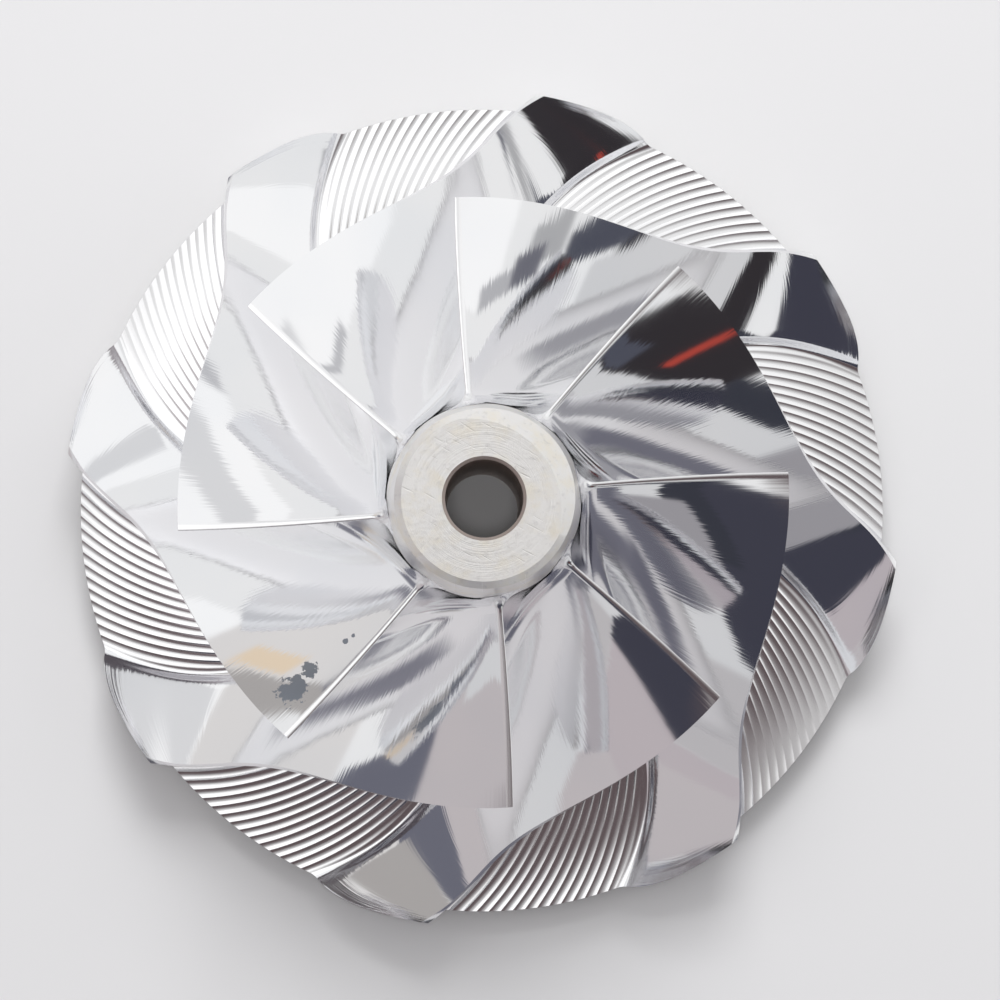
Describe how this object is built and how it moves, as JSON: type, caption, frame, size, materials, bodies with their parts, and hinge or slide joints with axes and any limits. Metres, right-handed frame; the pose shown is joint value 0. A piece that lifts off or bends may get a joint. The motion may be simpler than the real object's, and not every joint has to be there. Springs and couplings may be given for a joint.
{
  "type": "compressor wheel",
  "caption": "One-piece radial compressor impeller with full backswept blades on a flared hub disc, for a turbocharger shaft.",
  "frame": {"origin": "centre of the bore in the plane of the back boss face", "axes": "+Z along the bore axis from the back boss to the nose; +X through the leading edge of the first blade"},
  "size_m": [0.0842, 0.0842, 0.037],
  "materials": {
    "milled_aluminium": "bright milled"
  },
  "bodies": {
    "root": {"compressor_wheel": "milled_aluminium"}
  },
  "joints": []
}
